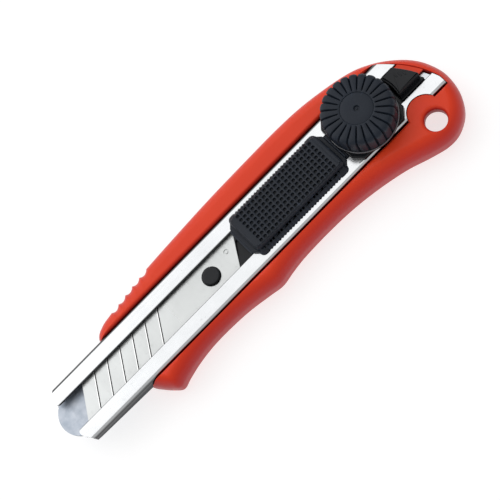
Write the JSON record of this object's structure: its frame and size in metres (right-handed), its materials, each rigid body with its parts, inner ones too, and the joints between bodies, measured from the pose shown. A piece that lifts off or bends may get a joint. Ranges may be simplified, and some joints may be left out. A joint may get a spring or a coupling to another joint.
{
  "type": "snap off knife",
  "caption": "Screw-lock snap-off knife: moulded grip round a steel blade channel, thumb slide with a waffle pad, ribbed locking knob and a lanyard hole.",
  "frame": {"origin": "on the flat back of the grip, under the channel's centre line, about half way along the knife", "axes": "+X from the blade's tip to the lanyard hole, +Z out of the channel's open side towards the lock knob, so -Y is the cutting side"},
  "size_m": [0.1578, 0.043, 0.0217],
  "materials": {
    "grip_plastic": "glossy moulded, red",
    "channel_steel": "polished plated sheet steel",
    "blade_steel": "satin ground",
    "black_plastic": "satin moulded, charcoal black",
    "bright_steel": "bright",
    "zinc_steel": "zinc plated",
    "brass_insert": "turned"
  },
  "bodies": {
    "handle": {"handle_grip": "grip_plastic", "blade_channel": "channel_steel", "channel_rivets": "zinc_steel", "end_block": "black_plastic", "end_block_pin": "zinc_steel"},
    "slider": {"blade": "blade_steel", "blade_carrier": "black_plastic", "slide_base": "black_plastic", "thumb_pad": "black_plastic", "slide_screws": "zinc_steel", "friction_spring": "bright_steel", "lock_shoe": "black_plastic", "thrust_washer": "bright_steel", "wave_washer": "bright_steel"},
    "knob": {"lock_knob": "black_plastic", "knob_nut": "brass_insert", "knob_cap": "black_plastic"},
    "clamp": {"clamp_bolt": "zinc_steel", "clamp_plate": "bright_steel", "retaining_clip": "bright_steel"}
  },
  "joints": [
    {"name": "blade_slide", "type": "slide", "parent": "handle", "child": "slider", "axis": [-1, 0, 0], "range_m": [0, 0.063]},
    {"name": "knob_turn", "type": "hinge", "parent": "slider", "child": "knob", "pos_m": [0.0514, 0, 0.0146], "axis": [0, 0, 1], "range_deg": [0, 270]},
    {"name": "clamp_travel", "type": "slide", "parent": "slider", "child": "clamp", "axis": [0, 0, -1], "range_m": [0, 0.000525]}
  ],
  "couplings": [
    {"joint": "knob_turn", "follows": "clamp_travel", "rad_per_m": 8975.9}
  ]
}
